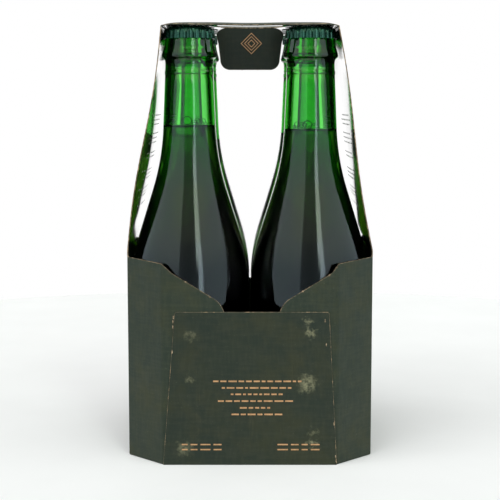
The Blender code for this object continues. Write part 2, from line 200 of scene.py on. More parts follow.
# Bottle, with heights above its own base
HEEL_RADIUS = 6.0 * MM
BASE_RING_RADIUS = 24.0 * MM
PUSH_UP = 3.0 * MM
SHOULDER_START = 87.2 * MM
SHOULDER_CURVE = 101.0 * MM
SHOULDER_SLOPE = math.radians(17.2)
SHOULDER_END = SHOULDER_START + SHOULDER_CURVE * math.sin(SHOULDER_SLOPE)
SHOULDER_END_RADIUS = BODY_RADIUS - SHOULDER_CURVE * (1 - math.cos(SHOULDER_SLOPE))
NECK_CURVE_START = 142.2 * MM
NECK_CURVE = 130.0 * MM
NECK_TAPER = math.radians(2.4)
NECK_CURVE_END = NECK_CURVE_START + NECK_CURVE * (math.sin(SHOULDER_SLOPE) - math.sin(NECK_TAPER))
NECK_TOP = 206.6 * MM
SEAM_HEIGHT = 203.6 * MM
BEAD_HEIGHT = 212.6 * MM
BEAD_RADIUS = 14.5 * MM
COLLAR_HEIGHT = 221.2 * MM
COLLAR_RADIUS = 12.7 * MM
LIP_HEIGHT = 227.0 * MM
LIP_RADIUS = 10.2 * MM
MOUTH_RADIUS = 8.2 * MM
THROAT = [
    (9.75, 206.5), (9.5, 209.5), (8.95, 211.8), (9.05, 213.4), (8.75, 215.4), (8.8, 217.0), (8.4, 220.0), (8.2, 224.0),
]
WALL = 2.7 * MM
NECK_WALL = 3.2 * MM
FLOOR_THICKNESS = 4.0 * MM
TURNED_STEPS = 96
BEER_BITE = 0.15 * MM
GLASS_IOR = 1.5
BEER_IOR = 1.34
MENISCUS = 0.9 * MM

# Face attribute where glass and drink touch. Light runs almost straight on through the glass there, so the
# roughness doesn't show, and only keeps grain out of the picture
WETTED = "wetted"
WET_GLASS_IOR = 1.0005
WET_ROUGHNESS = 0.3

# Bubbles over the beer, drawn only as dark rings of painted shade for their refracted edges, with sizes in
# millimetres, and their sides of the bottles in degrees
BUBBLES = 10
BUBBLE_SPREAD = 44
BUBBLE_SIZES = (0.6, 0.8, 1.1, 1.5, 2.1)
BUBBLE_RISE = 2.4
BUBBLE_INSET = 0.35 * MM
RIM_THICKNESS = (0.16, 0.24)
RIM_STEPS = 20
RIM_SIDES = 5
BUBBLE_SIDES = (-62, -104, 40, 130)

# Crown cap, with heights above the bottle's base
CAP_FLUTES = 21
CAP_FLUTE_DEPTH = 0.9 * MM
CAP_ARCH_TOP = 226.9 * MM
CAP_ARCH_DROP = 2.6 * MM
CAP_ARCH_BLEND = 0.7 * MM
CAP_STEPS_PER_FLUTE = 10
CAP_METAL = 0.28 * MM
CAP_SHARP_ANGLE = math.radians(50)
CAP_CROWN = [(10.4 * MM, 227.6 * MM), (11.3 * MM, 227.45 * MM)]
CAP_HEIGHTS = (227.1, 226.7, 226.3, 225.9, 225.5, 225.1, 224.7, 224.2, 223.6, 223.0, 222.4, 221.9, 221.5)

# Radius of the cap's skirt between its flutes, as height and radius in millimetres
CAP_VALLEY = [(221.5, 12.7), (224.5, 12.55), (226.2, 12.4), (227.1, 11.9)]


def spread(start, end, count):
    """Evenly spaced numbers from start to end, both included."""
    return [start + (end - start) * step / (count - 1) for step in range(count)]


def smooth_line(points, per_span):
    """Points of a Catmull-Rom curve through the given points."""
    line = [Vector(point) for point in points]
    padded = [2 * line[0] - line[1]] + line + [2 * line[-1] - line[-2]]
    curve = []
    for first, second, third, fourth in zip(padded, padded[1:], padded[2:], padded[3:]):
        for step in range(per_span):
            t = step / per_span
            curve.append(0.5 * (
                2 * second + (third - first) * t
                + (2 * first - 5 * second + 4 * third - fourth) * t ** 2
                + (3 * second - first - 3 * third + fourth) * t ** 3
            ))
    curve.append(line[-1])
    return [tuple(point) for point in curve]


def follow(line, x):
    """Second coordinate of a line of points at a given first one."""
    for (x0, y0), (x1, y1) in zip(line, line[1:]):
        if x0 < x1 and x <= x1:
            return y0 + (y1 - y0) * (x - x0) / (x1 - x0)
    return line[-1][1]


def put(name, data):
    """Object in the scene for its data."""
    obj = bpy.data.objects.new(name, data)
    bpy.context.scene.collection.objects.link(obj)
    return obj


def mesh_object(name, mesh, materials):
    """Object in the scene for a mesh, with its materials."""
    for material in materials:
        mesh.materials.append(material)
    return put(name, mesh)


def mesh_from(bm, name):
    """Finish a bmesh as a mesh."""
    mesh = bpy.data.meshes.new(name)
    bm.to_mesh(mesh)
    bm.free()
    return mesh


def bridge(bm, first, second):
    """Faces between two closed loops of points, either of which can be a single point."""
    faces = []
    count = max(len(first), len(second))
    for step in range(count):
        after = (step + 1) % count
        near = [first[step % len(first)], second[step % len(second)]]
        far = [second[after % len(second)], first[after % len(first)]]
        faces.append(bm.faces.new(list(dict.fromkeys(near + far))))
    return faces


def add_ring(bm, radii, height):
    """Closed loop of points round Z, one for each radius."""
    ring = []
    for step, radius in enumerate(radii):
        angle = 2 * math.pi * step / len(radii)
        ring.append(bm.verts.new((radius * math.cos(angle), radius * math.sin(angle), height)))
    return ring


def add_prism(bm, near, far):
    """Block between two flat outlines."""
    near = [bm.verts.new(point) for point in near]
    far = [bm.verts.new(point) for point in far]
    bm.faces.new(near)
    bm.faces.new(list(reversed(far)))
    bridge(bm, near, far)


class Nodes:
    """A node tree with short calls for the nodes that it needs."""

    def __init__(self, tree):
        self.tree = tree

    def feed(self, value, socket):
        """Link a socket to another socket, or put a plain value on it."""
        if isinstance(value, bpy.types.NodeSocket):
            self.tree.links.new(value, socket)
        elif socket.type == "RGBA":
            socket.default_value = (*value, 1.0)
        else:
            socket.default_value = value

    def node(self, kind, sockets=None, **settings):
        """New node with its settings, and what feeds each socket by name or number."""
        made = self.tree.nodes.new(kind)
        for key, value in settings.items():
            setattr(made, key, value)
        for key, value in (sockets or {}).items():
            self.feed(value, made.inputs[key])
        return made

    def maths(self, operation, first, second):
        """One sum, with a socket or a number on each side."""
        return self.node("ShaderNodeMath", {0: first, 1: second}, operation=operation).outputs["Value"]

    def mix(self, share, first, second, blend="MIX"):
        """Two colours mixed, with a socket or a colour on each side."""
        sockets = {"Factor": share, 6: first, 7: second}
        return self.node("ShaderNodeMix", sockets, data_type="RGBA", blend_type=blend).outputs[2]

    def ramp(self, source, stops):
        """Colour ramp over a value."""
        ramp = self.node("ShaderNodeValToRGB", {"Fac": source})
        elements = ramp.color_ramp.elements
        while len(elements) < len(stops):
            elements.new(0.5)
        for element, (position, colour) in zip(elements, stops):
            element.position = position
            element.color = (*colour, 1.0)
        return ramp.outputs["Color"]


class Shader(Nodes):
    """A node material around a Principled surface."""

    def __init__(self, name):
        self.material = bpy.data.materials.new(name)
        self.material.use_nodes = True
        super().__init__(self.material.node_tree)
        self.surface = self.tree.nodes["Principled BSDF"]
        self.place = self.node("ShaderNodeTexCoord").outputs["Object"]

    def set(self, **values):
        """What feeds the surface's sockets, with _ for a space."""
        for key, value in values.items():
            self.feed(value, self.surface.inputs[key.replace("_", " ")])

    def noise(self, scale, detail=4.0, roughness=0.55, stretch=(1, 1, 1)):
        """Noise with a scale in features per metre, stretched along each axis."""
        place = self.node("ShaderNodeMapping", {"Scale": stretch, "Vector": self.place}).outputs["Vector"]
        sockets = {"Scale": scale, "Detail": detail, "Roughness": roughness, "Vector": place}
        return self.node("ShaderNodeTexNoise", sockets).outputs["Fac"]

    def band(self, source, low, high, to_low=0.0, to_high=1.0):
        """Value moved from one range to another, held at its ends."""
        sockets = {"Value": source, 1: low, 2: high, 3: to_low, 4: to_high}
        return self.node("ShaderNodeMapRange", sockets, interpolation_type="SMOOTHSTEP").outputs["Result"]

    def spots(self, places):
        """Full strength near any of the places, each a point with its reach, and nought elsewhere."""
        total = 0.0
        ragged = self.band(self.noise(260, 4.0, 0.7), 0.3, 0.7, -0.002, 0.002)
        for centre, reach, strength in places:
            away = self.node("ShaderNodeVectorMath", {0: self.place, 1: centre}, operation="DISTANCE")
            near = self.band(self.maths("ADD", away.outputs["Value"], ragged), 0.0, reach, strength, 0.0)
            total = self.maths("MAXIMUM", near, total)
        return total

    def bump(self, height, strength, distance):
        """Bump on the surface from a height."""
        bump = self.node("ShaderNodeBump", {"Strength": strength, "Distance": distance, "Height": height})
        self.set(Normal=bump.outputs["Normal"])

    def wetted(self, dry, wet):
        """One value on dry faces, and another where glass and drink touch."""
        share = self.node("ShaderNodeAttribute", attribute_name=WETTED).outputs["Fac"]
        return self.maths("ADD", self.maths("MULTIPLY", share, wet - dry), dry)

    def clear(self, ior, wet_ior, colour, density):
        """Clear surface, its index where it is dry and where it is wetted, and what it absorbs per metre inside."""
        self.set(Base_Color=(1.0, 1.0, 1.0), IOR=self.wetted(ior, wet_ior), Transmission_Weight=1.0)
        volume = self.node("ShaderNodeVolumeAbsorption", {"Color": colour, "Density": density})
        self.feed(volume.outputs["Volume"], self.tree.nodes["Material Output"].inputs["Volume"])


def printed_board(name, shade):
    """Dark green ink on matte board: olive patches, a faint weave of streaks, and pale scuffs."""
    shader = Shader(name)
    mottle = shader.noise(60, 6.0, 0.65)
    tone = shader.ramp(mottle, [
        (0.30, (0.012, 0.022, 0.0145)),
        (0.55, (0.017, 0.027, 0.0175)),
        (0.75, (0.025, 0.035, 0.022)),
    ])
    patches = shader.band(shader.noise(38, 7.0, 0.72), 0.42, 0.66)
    olive = shader.mix(shader.maths("MULTIPLY", patches, 0.62), tone, (0.039, 0.041, 0.015))
    upright = shader.band(shader.noise(640, 3.0, 0.6, (1, 1, 0.16)), 0.35, 0.70)
    level = shader.band(shader.noise(760, 3.0, 0.6, (0.13, 0.13, 1)), 0.35, 0.70)
    weave = shader.maths("MULTIPLY", shader.maths("ADD", upright, level), 0.5)
    woven = shader.mix(shader.band(weave, 0.0, 1.0, 0.0, 0.36), olive, (0.052, 0.057, 0.036))
    streaks = shader.band(shader.noise(300, 3.0, 0.6, (1, 1, 0.05)), 0.62, 0.76)
    worn = shader.maths("MULTIPLY", shader.maths("MULTIPLY", streaks, patches), 0.5)
    streaked = shader.mix(worn, woven, (0.12, 0.10, 0.055))
    specks = shader.band(shader.noise(1100, 2.0), 0.66, 0.78)
    speckled = shader.mix(shader.maths("MULTIPLY", specks, 0.25), streaked, (0.15, 0.15, 0.11))
    rubbed = shader.maths("MULTIPLY", shader.spots(SCUFFS), shader.band(shader.noise(420, 4.0, 0.7), 0.33, 0.60))
    scuffed = shader.mix(shader.maths("MULTIPLY", rubbed, 0.9), speckled, (0.30, 0.30, 0.185))
    shader.set(
        # The part's tint multiplies the colour; on the tabs this tint is painted shade
        Base_Color=shader.mix(1.0, scuffed, shade, "MULTIPLY"),
        Roughness=shader.band(mottle, 0.2, 0.8, 0.50, 0.66),
        Specular_IOR_Level=0.3,
    )
    shader.bump(shader.maths("ADD", shader.noise(1400, 3.0), weave), 0.15, 0.05 * MM)
    return shader.material


def varnished_board():
    """Dark green inside of the board under a smooth varnish, which mirrors at a low angle."""
    shader = Shader("varnished_board")
    cloud = shader.noise(60, 4.0)
    shader.set(
        Base_Color=shader.ramp(cloud, [(0.3, (0.009, 0.017, 0.011)), (0.7, (0.013, 0.023, 0.015))]),
        Roughness=shader.band(cloud, 0.3, 0.7, 0.055, 0.09),
        Specular_IOR_Level=0.5,
    )
    shader.bump(shader.noise(90, 2.0), 0.05, 0.04 * MM)
    return shader.material


def ramp_material(name, noise, stops, **surface):
    """Material with a colour ramp over noise."""
    shader = Shader(name)
    shader.set(Base_Color=shader.ramp(shader.noise(*noise), stops), **surface)
    return shader.material


def raw_board():
    """Cut edge of the board: tan fibres with darker ones between them."""
    shader = Shader("raw_board")
    fibres = shader.noise(420, 5.0, 0.7)
    tan = shader.ramp(fibres, [(0.38, (0.045, 0.040, 0.026)), (0.50, (0.23, 0.17, 0.11)), (0.66, (0.60, 0.46, 0.31))])
    shader.set(Base_Color=tan, Roughness=0.85, Specular_IOR_Level=0.2)
    shader.bump(fibres, 0.5, 0.1 * MM)
    return shader.material


def lapped_edge():
    """Cut edge that the dark ink laps over, with bare flecks of tan."""
    stops = [(0.42, (0.07, 0.068, 0.048)), (0.54, (0.20, 0.175, 0.12)), (0.62, (0.62, 0.43, 0.26))]
    return ramp_material("lapped_edge", (330, 5.0, 0.7), stops, Roughness=0.85, Specular_IOR_Level=0.2)


def copper_ink():
    """Matte copper ink, a little worn."""
    shader = Shader("copper_ink")
    wear = shader.noise(500, 4.0)
    shader.set(
        Base_Color=shader.ramp(wear, [(0.30, (0.36, 0.19, 0.085)), (0.62, (0.56, 0.31, 0.15))]),
        Roughness=shader.band(wear, 0.3, 0.7, 0.5, 0.7),
        Metallic=0.25,
    )
    return shader.material


def pale_ink():
    """Matte grey ink of the small marks inside."""
    stops = [(0.35, (0.48, 0.49, 0.47)), (0.65, (0.78, 0.79, 0.76))]
    return ramp_material("pale_ink", (700, 3.0), stops, Roughness=0.9, Specular_IOR_Level=0.1)


def green_glass():
    """Green bottle glass that darkens with depth, with the faint unevenness of a mould."""
    shader = Shader("green_glass")
    shader.clear(GLASS_IOR, WET_GLASS_IOR, (0.09, 0.75, 0.0), 440.0)
    shader.set(Roughness=shader.wetted(0.0, WET_ROUGHNESS))
    shader.bump(shader.noise(45, 2.0, 0.4, (1, 1, 0.35)), 0.4, 0.25 * MM)
    return shader.material


def beer_liquid():
    """Clear amber lager."""
    shader = Shader("beer_liquid")
    shader.clear(BEER_IOR, BEER_IOR / GLASS_IOR, (0.76, 0.60, 0.0), 95.0)
    shader.set(Roughness=0.0)
    return shader.material


def cap_lacquer():
    """Dark green lacquer on tinplate, its colour and roughness varying in patches."""
    shader = Shader("cap_lacquer")
    cloud = shader.noise(300, 4.0)
    shader.set(
        Base_Color=shader.ramp(cloud, [(0.3, (0.004, 0.034, 0.019)), (0.7, (0.012, 0.080, 0.046))]),
        Roughness=shader.band(shader.noise(900, 3.0), 0.35, 0.7, 0.16, 0.34),
        Metallic=0.75, Coat_Weight=0.35, Coat_Roughness=0.08,
    )
    shader.bump(shader.noise(1200, 2.0), 0.08, 0.04 * MM)
    return shader.material


def slope_radius(height):
    """Radius on the shoulder's straight slope."""
    return SHOULDER_END_RADIUS - (height - SHOULDER_END) * math.tan(SHOULDER_SLOPE)


def neck_curve_radius(height):
    """Radius on the hollow curve between the shoulder's slope and the neck."""
    centre_height = NECK_CURVE_START + NECK_CURVE * math.sin(SHOULDER_SLOPE)
    centre_radius = slope_radius(NECK_CURVE_START) + NECK_CURVE * math.cos(SHOULDER_SLOPE)
    return centre_radius - math.sqrt(NECK_CURVE ** 2 - (centre_height - height) ** 2)


def outer_radius(height):
    """Radius of the bottle's outside between its base and the top of its neck."""
    if height < HEEL_RADIUS:
        drop = HEEL_RADIUS - height
        return BODY_RADIUS - HEEL_RADIUS + math.sqrt(HEEL_RADIUS ** 2 - drop ** 2)
    if height <= SHOULDER_START:
        return BODY_RADIUS
    if height <= SHOULDER_END:
        rise = height - SHOULDER_START
        return BODY_RADIUS - SHOULDER_CURVE + math.sqrt(SHOULDER_CURVE ** 2 - rise ** 2)
    if height <= NECK_CURVE_START:
        return slope_radius(height)
    if height <= NECK_CURVE_END:
        return neck_curve_radius(height)
    return neck_curve_radius(NECK_CURVE_END) - (height - NECK_CURVE_END) * math.tan(NECK_TAPER)


def wall_thickness(height):
    """Glass thickness, growing from the body to the neck."""
    share = (height - SHOULDER_START) / (NECK_TOP - SHOULDER_START)
    return WALL + (NECK_WALL - WALL) * min(max(share, 0.0), 1.0)


def inner_radius(height):
    """Radius of the glass's inside, rounded at the floor."""
    radius = outer_radius(max(height, HEEL_RADIUS)) - wall_thickness(height)
    rise = height - FLOOR_THICKNESS - PUSH_UP
    if rise < HEEL_RADIUS:
        drop = HEEL_RADIUS - max(rise, 0.0)
        radius += math.sqrt(max(HEEL_RADIUS ** 2 - drop ** 2, 0.0)) - HEEL_RADIUS
    return radius


def outer_heights():
    """Close heights along the outside, from the heel up to the top of the neck."""
    heights = spread(0.0, HEEL_RADIUS, 9)
    heights += spread(HEEL_RADIUS, SHOULDER_START, 6)[1:]
    heights += spread(SHOULDER_START, NECK_CURVE_END, 44)[1:]
    heights += spread(NECK_CURVE_END, SEAM_HEIGHT - 1.0 * MM, 6)[1:]
    return heights


def finish_profile():
    """Lip, collar, bead and mould seam from the mouth down to the neck: radius, height."""
    lip, collar, bead = (LIP_RADIUS, LIP_HEIGHT), (COLLAR_RADIUS, COLLAR_HEIGHT), (BEAD_RADIUS, BEAD_HEIGHT)
    neck = outer_radius(NECK_TOP)
    under = (neck, BEAD_HEIGHT)
    seam = (outer_radius(SEAM_HEIGHT), SEAM_HEIGHT)
    crown = offset([(lip, -0.6, 0.0), (lip, 0.0, -0.15), (lip, 1.2, -0.9), (collar, -0.4, 0.6)])
    swell = offset([
        (collar, 0.0, 0.0), (collar, 0.75, -4.0), (bead, -0.1, 1.0), (bead, 0.0, -0.1), (bead, -0.35, -0.9),
        (under, 0.45, -1.9), (under, 0.02, -3.4), ((neck, NECK_TOP), 0.0, 0.0),
    ])
    ridge = offset([(seam, 0.0, 0.95), (seam, 0.22, 0.8), (seam, 0.22, -0.8), (seam, 0.0, -0.95)])
    return crown + smooth_line(swell, 5) + ridge


def offset(places):
    """Points moved outward and upward by millimetres."""
    return [(point[0] + out * MM, point[1] + up * MM) for point, out, up in places]


def turned_mesh(name, profile, first_wetted, last_wetted):
    """Profile turned round Z, its places on the axis as single points, with the spans that are wetted."""
    bm = bmesh.new()
    wetted = bm.faces.layers.float.new(WETTED)
    rings = [add_ring(bm, [radius] * (TURNED_STEPS if radius else 1), height) for radius, height in profile]
    for span, (upper, lower) in enumerate(zip(rings, rings[1:])):
        for face in bridge(bm, upper, lower):
            face[wetted] = float(first_wetted <= span < last_wetted)
    mesh = mesh_from(bm, name)
    mesh.shade_smooth()
    return mesh


def glass_mesh(fill):
    """The glass: its section goes up the inside, over the lip and down the outside."""
    floor = FLOOR_THICKNESS + PUSH_UP
    top = fill + MENISCUS
    inside = [(0.0, floor), (0.4 * BODY_RADIUS, floor)]
    inside += [(inner_radius(floor + rise), floor + rise) for rise in spread(0.0, HEEL_RADIUS, 9)]
    heights = [height for height in outer_heights() if height > floor + HEEL_RADIUS]
    inside += [(inner_radius(height), height) for height in sorted(heights + [top])]
    wet_spans = sum(height < top for _, height in inside)
    inside += smooth_line([(radius * MM, height * MM) for radius, height in THROAT], 3)
    inside += [(MOUTH_RADIUS + 0.3 * MM, LIP_HEIGHT - 0.3 * MM)]
    outside = finish_profile()
    outside += [(outer_radius(height), height) for height in reversed(outer_heights())]
    outside += [(BASE_RING_RADIUS, 0.0), (BASE_RING_RADIUS - 2.0 * MM, 0.8 * MM), (0.0, PUSH_UP)]
    return turned_mesh("glass", inside + outside, 0, wet_spans)


def beer_mesh(fill):
    """The beer: its section goes from the middle of its surface down its outside."""
    wall = inner_radius(fill) + BEER_BITE
    surface = [(0.0, fill)]
    for share in (0.5, 0.7, 0.82, 0.9, 0.95, 0.98):
        surface.append((wall * share, fill + MENISCUS * share ** 18))
    top = fill + MENISCUS
    low = FLOOR_THICKNESS + PUSH_UP - BEER_BITE
    heights = [height for height in outer_heights() if low + HEEL_RADIUS < height < fill - 1.0 * MM]
    side = [(inner_radius(top) + BEER_BITE, top)]
    side += [(inner_radius(height) + BEER_BITE, height) for height in reversed(heights)]
    rises = reversed(spread(0.0, HEEL_RADIUS, 7))
    side += [(inner_radius(low + BEER_BITE + rise) + BEER_BITE, low + rise) for rise in rises]
    section = surface + side + [(0.0, low)]
    return turned_mesh("lager", section, len(surface), len(section))


def cap_radius(height, turn):
    """Radius of the cap's skirt: each flute swells out under an arch."""
    aside = 2 * abs(turn - round(turn))
    below = (CAP_ARCH_TOP - CAP_ARCH_DROP * aside ** 2 - height) / CAP_ARCH_BLEND
    share = min(max(below, 0.0), 1.0)
    swell = share * share * (3 - 2 * share) * (1 - aside ** 3)
    return follow(CAP_VALLEY, height / MM) * MM + CAP_FLUTE_DEPTH * swell


def cap_mesh():
    """Crown cap with arched flutes, hollow from below."""
    turns = [step / CAP_STEPS_PER_FLUTE for step in range(CAP_FLUTES * CAP_STEPS_PER_FLUTE)]
    bm = bmesh.new()
    rings = [add_ring(bm, [radius] * len(turns), height) for radius, height in CAP_CROWN]
    skirt = [(height * MM, 0.0) for height in CAP_HEIGHTS]
    skirt += [(height * MM, CAP_METAL) for height in reversed(CAP_HEIGHTS)]
    for height, inset in skirt:
        rings.append(add_ring(bm, [cap_radius(height, turn) - inset for turn in turns], height - inset / 3))
    for upper, lower in zip(rings, rings[1:]):
        bridge(bm, upper, lower)
    bm.faces.new(rings[0])
    bm.faces.new(list(reversed(rings[-1])))
    mesh = mesh_from(bm, "crown_cap")
    mesh.shade_smooth()
    mesh.set_sharp_from_angle(angle=CAP_SHARP_ANGLE)
    return mesh


def bottle_foot(place):
    """Middle of a bottle's foot, and the height of the beer over it."""
    low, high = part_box("bottle_" + place)
    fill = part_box("beer_" + place)[1][2] - low[2]
    return Vector(((low[0] + high[0]) / 2, (low[1] + high[1]) / 2, low[2])), fill


def make_bottles():
    """Glass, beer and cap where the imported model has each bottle."""
    glass, beer, lacquer = green_glass(), beer_liquid(), cap_lacquer()
    for step, place in enumerate(PLACES):
        foot, fill = bottle_foot(place)
        parts = [
            ("glass_", "bottle_", glass_mesh(fill), BOTTLE_TURN, glass, "green_glass"),
            ("lager_", "beer_", beer_mesh(fill), BOTTLE_TURN, beer, "beer"),
            ("crown_", "cap_", cap_mesh(), CAP_TURN, lacquer, "cap_paint"),
        ]
        for prefix, node, mesh, turn, material, slot in parts:
            mesh.transform(Matrix.Translation(foot) @ Matrix.Rotation(turn * step, 4, "Z"))
            piece = mesh_object(prefix + place, mesh, [material])
            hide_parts(node + place)
            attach(piece, "root")


def roof_height(x):
    """Height of the roof's upper face at a distance x from the middle."""
    reach = abs(x)
    if reach < ROOF_CREST_X:
        return ROOF_CREST - ROOF_SAG * (1 + math.cos(math.pi * reach / ROOF_CREST_X)) / 2
    share = (reach - ROOF_CREST_X) / (ROOF_HALF_WIDTH - ROOF_CREST_X)
    return ROOF_CREST - (ROOF_CREST - ROOF_EDGE_HEIGHT) * share ** 6


def panel_reach(side, share):
    """Distance of a leaning side from the middle, at a share of its height."""
    single, double = LEFT_BOW if side < 0 else RIGHT_BOW
    bow = single * math.sin(math.pi * share) + double * math.sin(2 * math.pi * share)
    return HALF + (ROOF_HALF_WIDTH - HALF) * share + bow


def panel_points(side):
    """Side panel from the fold above the basket up to the roof: x, z."""
    rise = ROOF_EDGE_HEIGHT - SIDE_FOLD
    shares = [step / PANEL_STEPS for step in range(PANEL_STEPS)]
    return [(side * panel_reach(side, share), SIDE_FOLD + rise * share) for share in shares]


def roof_points():
    """Roof from its left edge to its right edge: x, z."""
    outer = spread(-ROOF_HALF_WIDTH, -ROOF_CREST_X, ROOF_STEPS)
    inner = spread(-ROOF_CREST_X, 0.0, ROOF_STEPS)[1:]
    left = outer + inner
    return [(x, roof_height(x)) for x in left + [-x for x in reversed(left[:-1])]]


def sleeve_points():
    """Sides and roof of the carrier as one line from floor to floor: x, z."""
    left = [(-HALF, 0.0), (-HALF, CORNER_TOP)] + panel_points(-1)
    right = [(HALF, 0.0), (HALF, CORNER_TOP)] + panel_points(1)
    return left + roof_points() + list(reversed(right))


def droop(x, y, z):
    """How far the roof hangs down at a point: its free end strips, and the hinges of the tabs."""
    if z < ROOF_EDGE_HEIGHT - 0.1 * MM or abs(x) > ROOF_HALF_WIDTH:
        return 0.0
    share = max(0.0, (abs(y) - (CREASE - DROOP_REACH)) / DROOP_REACH)
    side = 1 - (abs(x) / ROOF_HALF_WIDTH) ** 6
    hinge = math.exp(-((abs(y) - HINGE_Y) / HINGE_DIP_REACH) ** 2) * max(0.0, 1 - (x / HINGE_DIP_HALF) ** 4)
    return ROOF_DROOP * share ** 1.6 * side + HINGE_DIP * hinge


def pinch(x, y, z):
    """How far a leaning side bends inward at a point, most at its middle."""
    if not SIDE_FOLD < z < ROOF_EDGE_HEIGHT or abs(x) < ROOF_HALF_WIDTH - MM:
        return 0.0
    curve = smooth_line(LEFT_PINCH if x < 0 else RIGHT_PINCH, 4)
    depth = follow(curve, z / MM) * MM * (1 - (y / CREASE) ** 2)
    return depth if x < 0 else -depth


def end_wall_points(end):
    """Outline of an end wall over its dipping top edge, with the edge's corners rounded: x, z."""
    lean = END_LEAN * -end
    edges = []
    for side in (-1, 1):
        edge = [(side * CREASE, WING_CREASE_TOP)]
        edge += [(lean + side * reach * MM, height * MM) for reach, height in WING_EDGE]
        edges.append(round_corners(edge, WALL_CORNER))
    left, right = edges
    return [(-CREASE, 0.0)] + left + list(reversed(right)) + [(CREASE, 0.0)]


def round_corners(points, reach):
    """Line with each inner corner replaced by a short curve."""
    line = [Vector(point) for point in points]
    made = [tuple(line[0])]
    for before, corner, after in zip(line, line[1:], line[2:]):
        sides = (before - corner, after - corner)
        start, end = (corner + side.normalized() * min(reach, side.length / 2.2) for side in sides)
        for t in spread(0.0, 1.0, 5):
            made.append(tuple(start.lerp(corner, t).lerp(corner.lerp(end, t), t)))
    made.append(tuple(line[-1]))
    return made


def add_face(bm, points):
    """Flat face through points; the later weld joins it to its neighbours."""
    bm.faces.new([bm.verts.new(point) for point in points])


def sleeve_rows():
    """Places along Y at which the sleeve has its rows of points, close near both ends."""
    reaches = (0.0, 0.5, 1.1, 1.8, 2.6, 3.5, 4.6, 7.0, 10.0, 14.0, 18.0, 22.0, 24.5, 27.0, 29.5, 32.0, 36.0, 41.0)
    near = [CREASE - reach * MM for reach in reaches]
    return [-y for y in near] + [0.0] + list(reversed(near))


def folded_board_mesh():
    """Outer face of the board: floor, basket walls, leaning sides and roof."""
    bm = bmesh.new()
    line = sleeve_points()
    rows = sleeve_rows()
    for (x0, z0), (x1, z1) in zip(line, line[1:]):
        for y0, y1 in zip(rows, rows[1:]):
            corners = [(x0, y0, z0), (x1, y0, z1), (x1, y1, z1), (x0, y1, z0)]
            add_face(bm, [(x + pinch(x, y, z), y, z - droop(x, y, z)) for x, y, z in corners])
    for end in (-1, 1):
        add_face(bm, [(x, end * HALF, z) for x, z in end_wall_points(end)])
        for side in (-1, 1):
            add_face(bm, [
                (side * HALF, end * CREASE, 0.0),
                (side * HALF, end * CREASE, CORNER_TOP),
                (side * CREASE, end * HALF, WING_CREASE_TOP),
                (side * CREASE, end * HALF, 0.0),
            ])
    right = [(HALF, y, 0.0) for y in rows]
    left = [(-HALF, y, 0.0) for y in reversed(rows)]
    ends = [(CREASE, HALF, 0.0), (-CREASE, HALF, 0.0)]
    front = [(-CREASE, -HALF, 0.0), (CREASE, -HALF, 0.0)]
    add_face(bm, right + ends + left + front)
    bmesh.ops.remove_doubles(bm, verts=bm.verts, dist=0.000001)
    bmesh.ops.recalc_face_normals(bm, faces=bm.faces)
    folds = [
        edge for edge in bm.edges
        if len(edge.link_faces) == 2 and edge.calc_face_angle() > FOLD_ANGLE
    ]
    bmesh.ops.bevel(bm, geom=folds, offset=FOLD_ROUND, segments=3, profile=0.5, affect="EDGES")
    return mesh_from(bm, "folded_board")


def prism_mesh(name, outline, to_point, thickness):
    """Flat outline run along a direction: to_point makes a point from an outline pair and a depth."""
    bm = bmesh.new()
    add_prism(bm, *([to_point(a, b, depth) for a, b in outline] for depth in (0.0, thickness)))
    bmesh.ops.recalc_face_normals(bm, faces=bm.faces)
    return mesh_from(bm, name)


def arc(centre, across, down, start, end, count):
    """Quarter of an oval, from one angle to another in degrees."""
    angles = spread(math.radians(start), math.radians(end), count)
    return [(centre[0] + across * math.cos(angle), centre[1] + down * math.sin(angle)) for angle in angles]


def tab_side_points():
    """Right edge of a tab, from its hinge to its far end: x, distance from the hinge."""
    shoulder = (TAB_HINGE_HALF, TAB_SHOULDER)
    corner = (TAB_LOWER_HALF - TAB_CORNER, TAB_LENGTH - TAB_CORNER)
    points = arc(shoulder, TAB_WIDEST_HALF - TAB_HINGE_HALF, -TAB_SHOULDER, 90, 0, 8)
    return points + [(TAB_WAIST_HALF, TAB_WAIST_AT)] + arc(corner, TAB_CORNER, TAB_CORNER, 0, 90, 10)


def hole_outline(end):
    """Finger hole seen from above, from the hinge toward the end of the roof: x, y."""
    right = [(x, end * (HINGE_Y + reach)) for x, reach in tab_side_points()]
    return right + [(-x, y) for x, y in reversed(right)]


def hinge_line_height():
    """Height of the roof's underside where a tab folds down from it."""
    return roof_height(TAB_HINGE_HALF) - BOARD - droop(TAB_HINGE_HALF, HINGE_Y, ROOF_CREST)


def tab_outline():
    """Hanging tab seen from the end, its top edge within the roof's board: x, z."""
    hinge_height = hinge_line_height()
    right = [(x, hinge_height - reach) for x, reach in tab_side_points()[1:]]
    left = [(-x, z) for x, z in reversed(right)]
    top = []
    for x in spread(-TAB_HINGE_HALF, TAB_HINGE_HALF, TAB_TOP_POINTS):
        top.append((x, roof_height(x) - BOARD / 2 - droop(x, HINGE_Y, ROOF_CREST)))
    return right + left + top


def tab_swing(end):
    """Turn of a tab about its hinge."""
    hinge = Matrix.Translation((0.0, end * HINGE_Y, hinge_line_height()))
    return hinge @ Matrix.Rotation(-end * TAB_TILTS[end], 4, "X") @ hinge.inverted()


def flap_outline(end):
    """Centre flap glued over the end wall, with its top corners rounded: x, z."""
    lean = END_LEAN * -end
    outline = [
        (FLAP_BASE_HALF_WIDTH, 0.0), (lean + FLAP_TOP_HALF_WIDTH, FLAP_TOP),
        (lean - FLAP_TOP_HALF_WIDTH, FLAP_TOP), (-FLAP_BASE_HALF_WIDTH, 0.0),
    ]
    return round_corners(outline, FLAP_CORNER)


def modify(obj, kind, **settings):
    """Give an object a modifier with its settings."""
    modifier = obj.modifiers.new(kind, kind)
    for key, value in settings.items():
        setattr(modifier, key, value)


